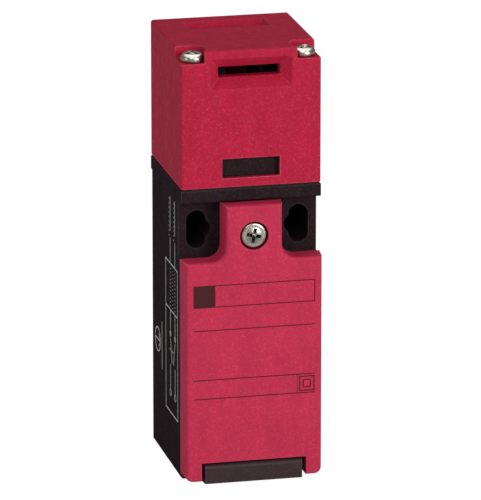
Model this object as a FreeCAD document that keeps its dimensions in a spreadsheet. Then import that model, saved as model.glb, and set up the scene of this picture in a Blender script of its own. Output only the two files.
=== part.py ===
"""Tongue interlock switch with a turret head, as a parametric FreeCAD document.

Frame in millimetres: X across the switch, Y from the cover side to the mounting face, Z up.
The origin is on the bottom face, in the middle of the casing's width and on the turret axis.
"""
import FreeCAD, Part
import math
import os
import re
import Sketcher
from FreeCAD import Placement, Rotation, Vector

# Driving sizes, each in its own cell. All are millimetres or degrees.
SIZES = (
    # turret head
    ("head_width", 30.0, "outside of the head and the collar along X"),
    ("head_depth", 30.0, "outside of the head and the collar along Y"),
    ("overall_height", 93.5, "bottom face to the top of the head"),
    ("head_height", 29.5, "height of the head above the collar"),
    ("head_edge", 0.6, "rounding of the head's outer edges"),
    ("skirt_wall", 1.4, "wall of the head round the spigot"),
    ("top_wall", 3.0, "wall of the head over the cam drum"),
    ("cavity_width", 18.6, "drum space along X"),
    ("cavity_depth", 21.2, "drum space along Y"),
    ("slot_width", 13.2, "tongue slot, long side"),
    ("slot_gap", 2.2, "tongue slot, short side"),
    ("funnel_depth", 2.2, "depth of the lead-in of each tongue slot"),
    ("slot_pitch", 7.9, "distance of each tongue slot from the cam axis"),
    ("window_width", 12.3, "low window in the front of the head"),
    ("window_height", 4.1, "low window in the front of the head"),
    ("window_rise", 2.0, "lower edge of the window above the head joint"),
    # head screws
    ("head_screw_inset_x", 3.14, "screw centre from the side of the head"),
    ("head_screw_inset_y", 3.2, "screw centre from the front of the head"),
    ("head_screw_head", 5.0, "diameter of the screw head"),
    ("head_screw_head_height", 1.9, "height of the screw head"),
    ("head_screw_shank", 2.9, "diameter of the shank"),
    ("head_screw_length", 29.5, "length of the shank"),
    ("screw_clearance", 0.15, "clearance of a screw in its through hole, on the radius"),
    ("pocket_gap", 0.4, "gap round a screw head in its corner pocket"),
    ("pocket_depth", 2.6, "pocket floor below the top of the head"),
    ("pocket_open_x", 5.1, "inner wall of the pocket from the side of the head"),
    ("pocket_open_y", 6.1, "rear wall of the pocket from the front of the head"),
    # cam drum
    ("cam_axis_drop", 13.0, "cam axis below the top of the head"),
    ("drum_radius", 9.3, "cheeks of the cam drum"),
    ("drum_side_gap", 0.4, "gap at each side of the cam drum"),
    ("eccentric_radius", 5.6, "eccentric between the cheeks"),
    ("eccentric_width", 7.4, "space between the cheeks"),
    ("cam_swing", 50.0, "turn of the drum when the tongue goes in"),
    ("notch_lead", 25.0, "angle of each notch ahead of its tongue slot"),
    ("notch_width", 3.0, "width of a tongue notch"),
    ("notch_depth", 3.3, "depth of a tongue notch"),
    ("axle_diameter", 3.0, "drum axle"),
    ("axle_seat", 3.0, "depth of the axle in each side of the head"),
    ("axle_fit", 0.02, "clearance of the axle in the head, on the radius"),
    ("running_fit", 0.05, "clearance of a moving fit, on the radius"),
    # spigot, gasket and guide
    ("spigot_height", 6.3, "spigot above the head joint"),
    ("spigot_fit", 0.15, "clearance of the spigot in the head"),
    ("screw_boss_depth", 6.1, "corner boss of the head from its front"),
    ("screw_boss_width", 5.7, "corner boss of the head from its side"),
    ("gasket_thickness", 0.5, "head gasket"),
    ("gasket_opening_width", 15.2, "opening of the head gasket along X"),
    ("gasket_opening_depth", 17.6, "opening of the head gasket along Y"),
    ("guide_diameter", 11.5, "plunger guide"),
    ("guide_drop", 2.0, "lower end of the guide below the head joint"),
    ("seal_thickness", 1.0, "lip ring on the guide"),
    # plunger
    ("plunger_travel", 2.6, "stroke of the plunger"),
    ("plunger_diameter", 5.0, "stem of the plunger"),
    ("cam_gap", 0.15, "play between the eccentric and the plunger"),
    ("plunger_head_height", 1.8, "flat head of the plunger"),
    ("plunger_head_gap", 0.5, "gap between the plunger's head and each cheek"),
    ("plunger_head_depth", 8.6, "flat head of the plunger along Y"),
    ("flange_diameter", 8.0, "flange that the spring lifts"),
    ("flange_height", 1.2, "thickness of the flange"),
    ("flange_play", 0.2, "play between flange and guide at full stroke"),
    ("flange_gap", 0.3, "gap round the flange in its bore"),
    ("roof_thickness", 4.0, "roof of the wiring chamber under the spring"),
    ("spring_side_gap", 0.75, "gap round the return spring in its bore"),
    ("spring_wire", 0.7, "wire of the return spring"),
    ("spring_turns", 5.0, "turns of the return spring"),
    ("spring_seat", 0.1, "play of the return spring at each end"),
    # casing
    ("body_inset", 0.1, "side of the casing behind the side of the collar"),
    ("rim_setback", 1.5, "casing's front rim behind the front of the head"),
    ("side_wall", 2.5, "side wall of the casing"),
    ("back_wall", 2.2, "back wall of the casing"),
    ("chamber_floor", 11.0, "floor of the wiring chamber, and length of the entry thread"),
    ("roof_step", 2.0, "chamber roof below the floor of the ears"),
    ("collar_height", 3.2, "collar below the head"),
    ("collar_edge", 0.7, "rounding under the collar"),
    ("body_edge", 0.8, "rounding of the casing's rear edges"),
    ("foot_chamfer", 0.6, "chamfer of the casing's foot"),
    ("ear_setback", 3.8, "ear face behind the front of the head"),
    ("ear_height", 12.6, "height of the ear recesses"),
    ("entry_diameter", 14.5, "core of the M16 x 1.5 cable entry"),
    ("insert_diameter", 4.2, "brass inserts of the head screws"),
    ("insert_length", 3.0, "brass inserts of the head screws"),
    # mounting openings
    ("mount_rise", 6.1, "mounting openings above the floor of the ears"),
    ("slot_centres", 22.0, "spacing of the upright mounting slots"),
    ("hole_centres", 20.0, "spacing of the round mounting holes"),
    ("mount_diameter", 4.3, "width of a slot and diameter of a hole"),
    ("slot_length", 8.3, "length of an upright slot"),
    # boss at the foot
    ("boss_inset", 3.9, "side of the foot boss inside the side of the casing"),
    ("boss_height", 4.2, "foot boss along Z"),
    ("boss_setback", 0.4, "boss front behind the cover front"),
    ("boss_taper", 0.5, "narrowing of the boss to its front on each side"),
    ("boss_edge", 1.0, "rounding of the boss's upper front edge"),
    # cover
    ("cover_overhang", 0.1, "cover rim beyond the side of the casing"),
    ("cover_front", 3.0, "cover front ahead of the front of the head"),
    ("cover_draft", 0.4, "narrowing of the cover to its front on each side"),
    ("cover_bottom", 0.6, "lower edge of the cover"),
    ("shoulder_lap", 0.5, "cover shoulder above the floor of the ears"),
    ("neck_width", 12.8, "neck of the cover"),
    ("neck_gap", 0.1, "gap between the neck and the collar"),
    ("neck_fillet", 3.0, "hollow rounding at the foot of the neck"),
    ("cover_corner", 1.5, "lower corners of the cover"),
    ("notch_play", 0.3, "play between cover and foot boss"),
    ("notch_head", 0.5, "gap between the foot boss and the notch over it"),
    ("cover_wall", 2.0, "front wall of the cover"),
    ("hollow_inset", 0.6, "edge of the cover's hollow inside the gasket and the roof"),
    # cover gasket
    ("gasket_inset", 0.5, "cover gasket from the casing's side"),
    ("gasket_width", 1.2, "cover gasket"),
    ("gasket_depth", 1.0, "cover gasket"),
    ("gasket_low", 7.8, "lower edge of the cover gasket"),
    ("gasket_top_inset", 0.8, "cover gasket below the shoulder"),
    # cover screw
    ("cover_screw_rise", 5.8, "cover screw above the floor of the ears"),
    ("cover_screw_head", 5.6, "diameter of the screw head"),
    ("cover_screw_head_height", 1.9, "height of the screw head"),
    ("cover_screw_shank", 3.4, "diameter of the shank"),
    ("cover_screw_length", 7.4, "length of the shank"),
    ("head_gap", 0.25, "gap round the cover screw's head"),
    ("counterbore_depth", 2.1, "counterbore of the cover screw"),
    ("cover_insert_diameter", 5.4, "brass insert of the cover screw"),
    ("cover_insert_length", 6.0, "brass insert of the cover screw"),
    ("cover_insert_inset", 0.2, "insert behind the casing's rim"),
    ("retainer_diameter", 6.0, "captive washer"),
    ("retainer_thickness", 0.5, "captive washer"),
    ("retainer_gap", 0.3, "gap round the captive washer"),
    # contact block
    ("block_side_gap", 0.8, "gap beside the contact block"),
    ("block_height", 25.0, "contact block along Z"),
    ("block_gap", 0.2, "contact block below the chamber's roof"),
    ("block_front", -2.6, "joint between the block's rear and front halves"),
    ("front_plate_gap", 0.2, "gap between the front plate and the fixed contacts"),
    ("front_plate_depth", 4.9, "front plate of the block"),
    ("carriage_width", 6.8, "contact carriage along X"),
    ("carriage_back", 3.4, "back of the contact carriage"),
    ("carriage_length", 18.4, "contact carriage along Z"),
    ("carriage_headroom", 0.6, "carriage below the chamber roof at full stroke"),
    ("carriage_play", 0.3, "play round the contact carriage"),
    ("channel_spare", 1.0, "carriage's channel below the carriage"),
    ("bridge_inset", 0.6, "end of a bridge inside the fixed contact's outer side"),
    ("bridge_depth", 2.8, "bridge contact along Y"),
    ("bridge_thickness", 0.6, "bridge contact"),
    ("button_radius", 0.9, "contact button"),
    ("button_height", 0.3, "contact button"),
    ("break_bridge_drop", 4.4, "upper bridge below the carriage top"),
    ("make_bridge_rise", 2.7, "lower bridge above the carriage bottom"),
    ("contact_gap", 0.1, "play of a closed contact"),
    ("slot_end_gap", 0.2, "bridge slot beyond the fixed contacts"),
    ("slot_back", 2.2, "back of a bridge slot"),
    ("slot_play", 0.7, "play over and under a bridge"),
    ("window_span", 4.4, "height of a carriage window"),
    ("window_depth", 3.2, "carriage window along Y"),
    ("bridge_spring_diameter", 2.2, "middle diameter of a bridge spring"),
    ("bridge_spring_wire", 0.35, "wire of a bridge spring"),
    ("bridge_spring_turns", 4.0, "turns of a bridge spring"),
    # terminals
    ("strip_thickness", 0.8, "fixed contact strip"),
    ("strip_length", 2.4, "fixed contact along X"),
    ("strip_lap", 0.8, "fixed contact beyond its plate's inner side"),
    ("strip_back", 1.8, "rear end of a fixed contact"),
    ("plate_width", 4.8, "terminal plate along X"),
    ("plate_inset", 0.2, "terminal plate inside the block's side"),
    ("plate_height", 5.6, "height of a terminal plate"),
    ("terminal_inset", 2.3, "terminal screw inside the block's side"),
    ("terminal_offset", 1.9, "terminal screw from its contact strip"),
    ("terminal_shank", 2.6, "terminal screw shank"),
    ("terminal_head", 4.2, "terminal screw head"),
    ("terminal_head_height", 1.6, "terminal screw head"),
    ("terminal_reach", 5.0, "terminal screw behind the block's joint"),
    ("clamp_size", 4.8, "clamp plate"),
    ("clamp_thickness", 0.9, "clamp plate"),
    ("clamp_lift", 0.2, "clamp plate ahead of its terminal plate"),
    # screws of the contact block
    ("block_screw_shank", 2.5, "block screw shank"),
    ("block_screw_head", 4.4, "block screw head"),
    ("block_screw_head_height", 1.8, "block screw head"),
    ("block_screw_bite", 1.4, "block screw in the casing's back wall"),
)

# Places and sizes that follow from the driving sizes.
PLACES = (
    # turret head
    ("head_base", "overall_height - head_height"),
    ("head_front", "-head_depth / 2"),
    ("head_back", "head_depth / 2"),
    ("cam_axis_height", "overall_height - cam_axis_drop"),
    ("cavity_top", "overall_height - top_wall"),
    ("screw_x", "head_width / 2 - head_screw_inset_x"),
    ("screw_y", "head_front + head_screw_inset_y"),
    ("pocket_floor", "overall_height - pocket_depth"),
    ("pocket_radius", "head_screw_head / 2 + pocket_gap"),
    ("drum_width", "cavity_width - 2 * drum_side_gap"),
    ("eccentricity", "plunger_travel / (2 * sin(cam_swing / 2))"),
    # spigot and plunger
    ("spigot_top", "head_base + spigot_height"),
    ("skirt_top", "spigot_top + gasket_thickness"),
    ("guide_bottom", "head_base - guide_drop"),
    ("guide_top", "spigot_top - seal_thickness"),
    ("plunger_top", "cam_axis_height - plunger_travel / 2 - eccentric_radius - cam_gap"),
    ("sliding_bore", "plunger_diameter + 2 * running_fit"),
    ("plunger_shoulder", "plunger_top - plunger_head_height"),
    ("plunger_head_width", "eccentric_width - 2 * plunger_head_gap"),
    ("flange_top", "guide_bottom - plunger_travel - flange_play"),
    ("flange_bottom", "flange_top - flange_height"),
    ("spring_bore", "flange_diameter + 2 * flange_gap"),
    ("spring_diameter", "spring_bore - 2 * spring_side_gap - spring_wire"),
    # casing and cover
    ("body_width", "head_width - 2 * body_inset"),
    ("cover_width", "body_width + 2 * cover_overhang"),
    ("rim", "head_front + rim_setback"),
    ("ear_face", "head_front + ear_setback"),
    ("cover_face", "head_front - cover_front"),
    ("boss_face", "cover_face + boss_setback"),
    ("boss_width", "body_width - 2 * boss_inset"),
    ("chamber_back", "head_back - back_wall"),
    ("chamber_width", "body_width - 2 * side_wall"),
    ("collar_base", "head_base - collar_height"),
    ("ear_floor", "collar_base - ear_height"),
    ("chamber_roof", "ear_floor - roof_step"),
    ("spring_floor", "chamber_roof + roof_thickness"),
    ("mount_height", "ear_floor + mount_rise"),
    ("cover_shoulder", "ear_floor + shoulder_lap"),
    ("neck_top", "collar_base - neck_gap"),
    ("cover_notch_top", "boss_height + notch_head"),
    ("gasket_high", "cover_shoulder - gasket_top_inset"),
    ("hollow_bottom", "gasket_low + gasket_width + hollow_inset"),
    ("hollow_top", "chamber_roof - hollow_inset"),
    ("cover_screw_height", "ear_floor + cover_screw_rise"),
    ("counterbore_diameter", "cover_screw_head + 2 * head_gap"),
    ("counterbore_floor", "cover_face + counterbore_depth"),
    ("retainer_recess", "retainer_diameter + 2 * retainer_gap"),
    # contact block
    ("block_width", "chamber_width - 2 * block_side_gap"),
    ("block_top", "chamber_roof - block_gap"),
    ("block_bottom", "block_top - block_height"),
    ("plate_front", "block_front - strip_thickness"),
    ("plate_outer", "block_width / 2 - plate_inset"),
    ("plate_inner", "plate_outer - plate_width"),
    ("strip_outer", "plate_inner + strip_lap"),
    ("strip_inner", "strip_outer - strip_length"),
    ("slot_side", "strip_outer + slot_end_gap"),
    ("bridge_reach", "strip_outer - bridge_inset"),
    ("button_place", "strip_inner + button_radius"),
    ("terminal_place", "block_width / 2 - terminal_inset"),
    ("front_plate_width", "2 * (strip_inner - front_plate_gap)"),
    ("carriage_front", "block_front + carriage_play"),
    ("carriage_top", "chamber_roof - plunger_travel - carriage_headroom"),
    ("carriage_bottom", "carriage_top - carriage_length"),
    ("channel_bottom", "carriage_bottom - channel_spare"),
    ("break_bridge_height", "carriage_top - break_bridge_drop"),
    ("make_bridge_height", "carriage_bottom + make_bridge_rise"),
    ("break_strip", "break_bridge_height + bridge_thickness / 2 + button_height"
                    " + plunger_travel + contact_gap"),
    ("make_strip", "make_bridge_height - bridge_thickness / 2 - button_height - contact_gap"),
    ("break_terminal", "break_strip - terminal_offset"),
    ("make_terminal", "make_strip + terminal_offset"),
    ("block_screw_height", "(break_terminal + make_terminal) / 2"),
)

# Circle on which the corners of an outline start, before their places are bound.
START_RADIUS = 9

# Straight lengths in each turn of a spring, and sides of its wire.
RETURN_SPRING_STEPS = (18, 6)
BRIDGE_SPRING_STEPS = (12, 4)

PLANES = {"x": "YZ_Plane", "y": "XZ_Plane", "z": "XY_Plane"}
ALONG = {
    "x": Rotation(Vector(0, 1, 0), 90),
    "y": Rotation(Vector(1, 0, 0), -90),
    "z": Rotation(),
}

doc = FreeCAD.newDocument("TongueInterlockSwitch")
sheet = doc.addObject("Spreadsheet::Sheet", "Dimensions")
for row, (alias, number, note) in enumerate(SIZES, start=1):
    sheet.set(f"A{row}", alias)
    sheet.set(f"B{row}", str(number))
    sheet.setAlias(f"B{row}", alias)
    sheet.set(f"C{row}", note)
doc.recompute()
CELLS = {alias: f"Dimensions.{alias}" for alias, number, note in SIZES}
CELLS.update({alias: f"Places.{alias}" for alias, formula in PLACES})


def bound(text):
    """Writes an expression with the full name of each cell in it."""
    return re.sub(r"[a-z][a-z0-9_]*", lambda word: CELLS.get(word.group(0), word.group(0)), text)


places = doc.addObject("Spreadsheet::Sheet", "Places")
for row, (alias, formula) in enumerate(PLACES, start=1):
    places.set(f"A{row}", alias)
    places.setAlias(f"B{row}", alias)
    places.set(f"B{row}", "=" + bound(formula).replace("Places.", ""))
doc.recompute()


def size(alias):
    """Gives the number in the cell with this alias."""
    return float((sheet if CELLS[alias].startswith("Dimensions") else places).get(alias))


def bind(item, path, text):
    """Binds a property to an expression written with the sheets' aliases."""
    item.setExpression(path, bound(text))


def minus(text):
    """Gives the expression for the mirrored place."""
    return f"-({text})"


def centred(text):
    """Gives the two ends of a length that lies half on each side of zero."""
    return (f"-({text}) / 2", f"({text}) / 2")


def beside(sign, inner, outer):
    """Gives the two ends of a stretch on the left, where the sign is a minus, or the right."""
    return (minus(outer), minus(inner)) if sign else (inner, outer)


# Outlines: each call gives a function that draws one closed outline on a sketch.

def polygon(corners):
    """Draws straight sides through corners, each one a pair of expressions."""
    def draw(item):
        first = item.GeometryCount
        count = len(corners)
        turn = 2 * math.pi / count
        start = [Vector(START_RADIUS * math.cos(turn * n), START_RADIUS * math.sin(turn * n), 0)
                 for n in range(count)]
        for n in range(count):
            item.addGeometry(Part.LineSegment(start[n], start[(n + 1) % count]), False)
        for n in range(count):
            item.addConstraint(
                Sketcher.Constraint("Coincident", first + n, 2, first + (n + 1) % count, 1))
        for n, corner in enumerate(corners):
            for kind, text, now in zip(("DistanceX", "DistanceY"), corner, start[n]):
                rule = item.addConstraint(Sketcher.Constraint(kind, -1, 1, first + n, 1, now))
                bind(item, f"Constraints[{rule}]", text)
    return draw


def rectangle(across, up):
    """Draws a rectangle between two pairs of expressions."""
    return polygon([(across[0], up[0]), (across[1], up[0]),
                    (across[1], up[1]), (across[0], up[1])])


def disc(centre, diameter):
    """Draws a circle."""
    def draw(item):
        number = item.addGeometry(Part.Circle(Vector(1, 1, 0), Vector(0, 0, 1), 2), False)
        for kind, text in zip(("DistanceX", "DistanceY"), centre):
            rule = item.addConstraint(Sketcher.Constraint(kind, -1, 1, number, 3, 1.0))
            bind(item, f"Constraints[{rule}]", text)
        rule = item.addConstraint(Sketcher.Constraint("Diameter", number, 4.0))
        bind(item, f"Constraints[{rule}]", diameter)
    return draw


# Features of a body.

def make_body(name):
    """Starts a sub-part whose label names its file."""
    body = doc.addObject("PartDesign::Body", name)
    body.Label = name
    return body


def sketch(body, name, axis, place, outlines):
    """Draws outlines on the body's own plane across an axis, at a place on that axis."""
    item = body.newObject("Sketcher::SketchObject", name)
    plane = next(part for part in body.Origin.OriginFeatures if part.Role == PLANES[axis])
    item.AttachmentSupport = [(plane, "")]
    item.MapMode = "FlatFace"
    # The sketch on the XZ plane looks along -Y, so its offset runs the other way.
    bind(item, "AttachmentOffset.Base.z", minus(place) if axis == "y" else place)
    for draw in outlines:
        draw(item)
    return item


def add(body, name, axis, span, *outlines):
    """Pads outlines between the two ends of span."""
    start = span[1] if axis == "y" else span[0]
    feature = body.newObject("PartDesign::Pad", name)
    feature.Profile = sketch(body, f"{name}_outline", axis, start, outlines)
    bind(feature, "Length", f"({span[1]}) - ({span[0]})")
    body.Tip = feature
    doc.recompute()
    return feature


def cut(body, name, axis, span, *outlines):
    """Pockets outlines between the two ends of span, and makes sure that they cut."""
    before = body.Tip.Shape.Volume
    start = span[0] if axis == "y" else span[1]
    feature = body.newObject("PartDesign::Pocket", name)
    feature.Profile = sketch(body, f"{name}_outline", axis, start, outlines)
    bind(feature, "Length", f"({span[1]}) - ({span[0]})")
    body.Tip = feature
    doc.recompute()
    if feature.Shape.Volume >= before:
        raise RuntimeError(f"{name} cuts nothing")
    return feature


def loft(body, kind, name, axis, ends, first, last):
    """Adds or cuts a form with flat sides between an outline at each of its two ends."""
    feature = body.newObject(f"PartDesign::{kind}Loft", name)
    feature.Profile = sketch(body, f"{name}_first", axis, ends[0], [first])
    feature.Sections = [sketch(body, f"{name}_last", axis, ends[1], [last])]
    feature.Ruled = True
    body.Tip = feature
    doc.recompute()
    return feature


def dress(body, kind, name, amount, chosen):
    """Rounds or chamfers the edges of the body that chosen picks."""
    base = body.Tip
    edges = [f"Edge{n}" for n, edge in enumerate(base.Shape.Edges, start=1) if chosen(edge)]
    if not edges:
        raise RuntimeError(f"{name} finds no edge")
    feature = body.newObject(f"PartDesign::{kind}", name)
    feature.Base = (base, edges)
    bind(feature, "Radius" if kind == "Fillet" else "Size", amount)
    body.Tip = feature
    doc.recompute()
    return feature


def turned(name, centre, profile):
    """Revolves a half profile, given as radius and height, about an upright axis."""
    body = make_body(name)
    feature = body.newObject("PartDesign::Revolution", f"{name}_turning")
    outline = sketch(body, f"{name}_profile", "y", centre[1], [polygon(profile)])
    bind(outline, "AttachmentOffset.Base.x", centre[0])
    feature.Profile = outline
    feature.ReferenceAxis = (outline, ["V_Axis"])
    feature.Angle = 360
    body.Tip = feature
    doc.recompute()
    return body


def near(value, target, reach=0.02):
    """Says whether two numbers are the same place."""
    return abs(value - target) < reach


def upright(edge):
    """Says whether an edge runs along Z."""
    box = edge.BoundBox
    return box.XLength < 0.01 and box.YLength < 0.01


# Primitives and groups.

def cylinder(name, axis, centre, diameter, span):
    """Makes a cylinder along an axis, its centre given on the other two."""
    item = doc.addObject("Part::Cylinder", name)
    item.Placement = Placement(Vector(), ALONG[axis])
    bind(item, "Radius", f"({diameter}) / 2")
    bind(item, "Height", f"({span[1]}) - ({span[0]})")
    base = dict(zip([letter for letter in "xyz" if letter != axis], centre))
    base[axis] = span[0]
    for letter, text in base.items():
        bind(item, f"Placement.Base.{letter}", text)
    return item


def box(name, x, y, z):
    """Makes a box between three pairs of expressions."""
    item = doc.addObject("Part::Box", name)
    for side, letter, span in zip(("Length", "Width", "Height"), "xyz", (x, y, z)):
        bind(item, side, f"({span[1]}) - ({span[0]})")
        bind(item, f"Placement.Base.{letter}", span[0])
    return item


def fused(name, items):
    """Joins items into one solid."""
    item = doc.addObject("Part::MultiFuse", name)
    item.Shapes = items
    item.Refine = True
    return item


def less(name, base, tools):
    """Cuts tools out of a base."""
    item = doc.addObject("Part::Cut", name)
    item.Base = base
    item.Tool = tools[0] if len(tools) == 1 else fused(f"{name}_tools", tools)
    return item


def group(name, items):
    """Puts separate solids into one node."""
    item = doc.addObject("Part::Compound", name)
    item.Links = items
    return item


def cross_recess(name, axis, centre, top, depth, reach):
    """Makes the two crossing slots of a screw's recess, as a tool below the head's top."""
    slots = []
    width = f"{reach} / 5"
    for number, (first, second) in enumerate(((reach, width), (width, reach))):
        sides = [(f"{place} - ({length}) / 2", f"{place} + ({length}) / 2")
                 for place, length in zip(centre, (first, second))]
        if axis == "z":
            spans = (sides[0], sides[1], (f"{top} - {depth}", top))
        else:
            spans = (sides[0], (top, f"{top} + {depth}"), sides[1])
        slots.append(box(f"{name}_slot_{number}", *spans))
    return slots


def coil(name, bottom, top, middle_diameter, wire, turns, steps):
    """Winds wire on the turret axis between two heights, in short straight lengths."""
    radius = middle_diameter / 2
    per_turn, sides = steps
    count = int(turns * per_turn)
    low, rise = bottom + wire / 2, top - bottom - wire
    points = [Vector(radius * math.cos(2 * math.pi * n / per_turn),
                     radius * math.sin(2 * math.pi * n / per_turn),
                     low + rise * n / count) for n in range(count + 1)]
    end = Part.makeCircle(wire / 2, points[0], points[1] - points[0])
    section = Part.makePolygon(end.discretize(sides + 1))
    item = doc.addObject("Part::Feature", name)
    item.Shape = Part.makePolygon(points).makePipeShell([section], True, False, 1)
    return item


# Sub-parts.

def spigot_outline(gap):
    """Outlines the spigot, whose front corners leave room for the head's screw bosses."""
    side = f"head_width / 2 - skirt_wall - ({gap})"
    front = f"head_front + skirt_wall + ({gap})"
    back = f"head_back - skirt_wall - ({gap})"
    stem = f"head_width / 2 - screw_boss_width - ({gap})"
    step = f"head_front + screw_boss_depth + ({gap})"
    right = [(stem, front), (stem, step), (side, step), (side, back)]
    left = [(minus(across), up) for across, up in reversed(right)]
    return polygon(right + left)


def tongue_slot(body, name, axis, place, inner):
    """Cuts one tongue slot with its lead-in through the wall of the head."""
    half = "slot_gap / 2"
    wide = "slot_gap / 2 + funnel_depth"
    throat = rectangle(centred("slot_width"), (f"{place} - {half}", f"{place} + {half}"))
    mouth = rectangle(centred("slot_width + 2 * funnel_depth"),
                      (f"{place} - ({wide})", f"{place} + ({wide})"))
    if axis == "y":
        face, bottom = "head_front", "head_front + funnel_depth"
        cut(body, name, axis, (face, inner), throat)
    else:
        face, bottom = "overall_height", "overall_height - funnel_depth"
        cut(body, name, axis, (inner, face), throat)
    loft(body, "Subtractive", f"{name}_funnel", axis, (face, bottom), mouth, throat)


def make_head():
    """Red turret head: two tongue slots, a window, and bosses for its two screws."""
    body = make_body("head_housing")
    add(body, "head_block", "z", ("head_base", "overall_height"),
        rectangle(centred("head_width"), centred("head_depth")))

    def outer(edge):
        return near(edge.BoundBox.Center.z, size("overall_height")) or upright(edge)

    dress(body, "Fillet", "head_rounding", "head_edge", outer)
    cut(body, "skirt_recess", "z", ("head_base", "skirt_top"), spigot_outline("0"))
    cut(body, "drum_space", "z", ("head_base", "cavity_top"),
        rectangle(centred("cavity_width"), centred("cavity_depth")))
    tongue_slot(body, "front_slot", "y", "(cam_axis_height + slot_pitch)", minus("cavity_depth / 2"))
    tongue_slot(body, "top_slot", "z", "slot_pitch", "cavity_top")
    low = "head_base + window_rise"
    cut(body, "window", "y", ("head_front", "head_front + skirt_wall + spigot_fit"),
        rectangle(centred("window_width"), (low, f"{low} + window_height")))
    for word, sign in (("left", "-"), ("right", "")):
        centre = (f"{sign}screw_x", "screw_y")
        outside = f"{sign}(head_width / 2 + 1)"
        cut(body, f"pocket_{word}", "z", ("pocket_floor", "overall_height"),
            disc(centre, "2 * pocket_radius"))
        cut(body, f"pocket_{word}_front", "z", ("pocket_floor", "overall_height"),
            rectangle((f"{sign}(head_width / 2 - pocket_open_x)", outside),
                      ("head_front - 1", "screw_y")))
        cut(body, f"pocket_{word}_side", "z", ("pocket_floor", "overall_height"),
            rectangle((centre[0], outside), ("head_front - 1", "head_front + pocket_open_y")))
        cut(body, f"screw_hole_{word}", "z", ("head_base", "pocket_floor"),
            disc(centre, "head_screw_shank + 2 * screw_clearance"))
    reach = "cavity_width / 2 + axle_seat"
    cut(body, "axle_hole", "x", centred(f"2 * ({reach})"),
        disc(("0", "cam_axis_height"), "axle_diameter + 2 * axle_fit"))
    return body


def make_head_screws():
    """Two pan-head screws that stand in the head's front corners."""
    screws = []
    for word, sign in (("left", "-"), ("right", "")):
        centre = (f"{sign}screw_x", "screw_y")
        crown = "(pocket_floor + head_screw_head_height)"
        edge = "pocket_floor + head_screw_head_height / 2"
        blank = turned(f"head_screw_{word}", centre, [
            ("0", "pocket_floor - head_screw_length"),
            ("head_screw_shank / 2", "pocket_floor - head_screw_length"),
            ("head_screw_shank / 2", "pocket_floor"),
            ("head_screw_head / 2", "pocket_floor"),
            ("head_screw_head / 2", edge),
            ("head_screw_head * 0.42", "pocket_floor + head_screw_head_height * 0.82"),
            ("head_screw_head * 0.26", "pocket_floor + head_screw_head_height * 0.97"),
            ("0", crown)])
        recess = cross_recess(f"head_screw_{word}", "z", centre, crown,
                              "head_screw_head_height * 0.7", "head_screw_head * 0.6")
        screws.append(less(f"head_screw_{word}_cut", blank, recess))
    return group("head_screws", screws)


def turned_corner(along, across, angle):
    """Turns a corner about the cam axis, from a place beside the Y axis."""
    return (f"({along}) * cos({angle}) - ({across}) * sin({angle})",
            f"cam_axis_height + ({along}) * sin({angle}) + ({across}) * cos({angle})")


def make_cam_drum():
    """Drum with a notch for each tongue slot and an eccentric between its cheeks."""
    body = make_body("cam_drum")
    axis = ("0", "cam_axis_height")
    add(body, "drum", "x", centred("drum_width"), disc(axis, "2 * drum_radius"))
    centre = ("-eccentricity * cos(cam_swing / 2)",
              "cam_axis_height - eccentricity * sin(cam_swing / 2)")
    cut(body, "eccentric", "x", centred("eccentric_width"),
        disc(axis, "2 * drum_radius + 2"), disc(centre, "2 * eccentric_radius"))
    for word, angle in (("front", "(90 + notch_lead)"), ("top", "notch_lead")):
        inner = "drum_radius - notch_depth"
        half = "notch_width / 2"
        cut(body, f"{word}_notch", "x", centred("drum_width"), polygon([
            turned_corner(inner, minus(half), angle),
            turned_corner("drum_radius + 1", minus(half), angle),
            turned_corner("drum_radius + 1", half, angle),
            turned_corner(inner, half, angle)]))
    cut(body, "axle_bore", "x", centred("drum_width"),
        disc(axis, "axle_diameter + 2 * running_fit"))
    return body


def make_plunger():
    """Push rod: flat head under the eccentric, stem, and the flange that the spring lifts."""
    body = make_body("plunger")
    add(body, "stem", "z", ("carriage_top", "plunger_shoulder"), disc(("0", "0"), "plunger_diameter"))
    add(body, "flange", "z", ("flange_bottom", "flange_top"), disc(("0", "0"), "flange_diameter"))
    add(body, "flat_head", "z", ("plunger_shoulder", "plunger_top"),
        rectangle(centred("plunger_head_width"), centred("plunger_head_depth")))

    def corner(edge):
        middle = (size("plunger_shoulder") + size("plunger_top")) / 2
        return upright(edge) and near(edge.BoundBox.Center.z, middle)

    dress(body, "Fillet", "head_corners", "plunger_head_height / 2", corner)
    return body


def ring(name, outer, inner, span):
    """Makes a washer or bush on the turret axis."""
    return less(name, cylinder(f"{name}_outside", "z", ("0", "0"), outer, span),
                [cylinder(f"{name}_bore", "z", ("0", "0"), inner, span)])


def make_head_gasket():
    """Flat gasket between the spigot and the head."""
    body = make_body("head_gasket")
    add(body, "gasket_sheet", "z", ("spigot_top", "skirt_top"), spigot_outline("spigot_fit"),
        rectangle(centred("gasket_opening_width"), centred("gasket_opening_depth")))
    return body


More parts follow.
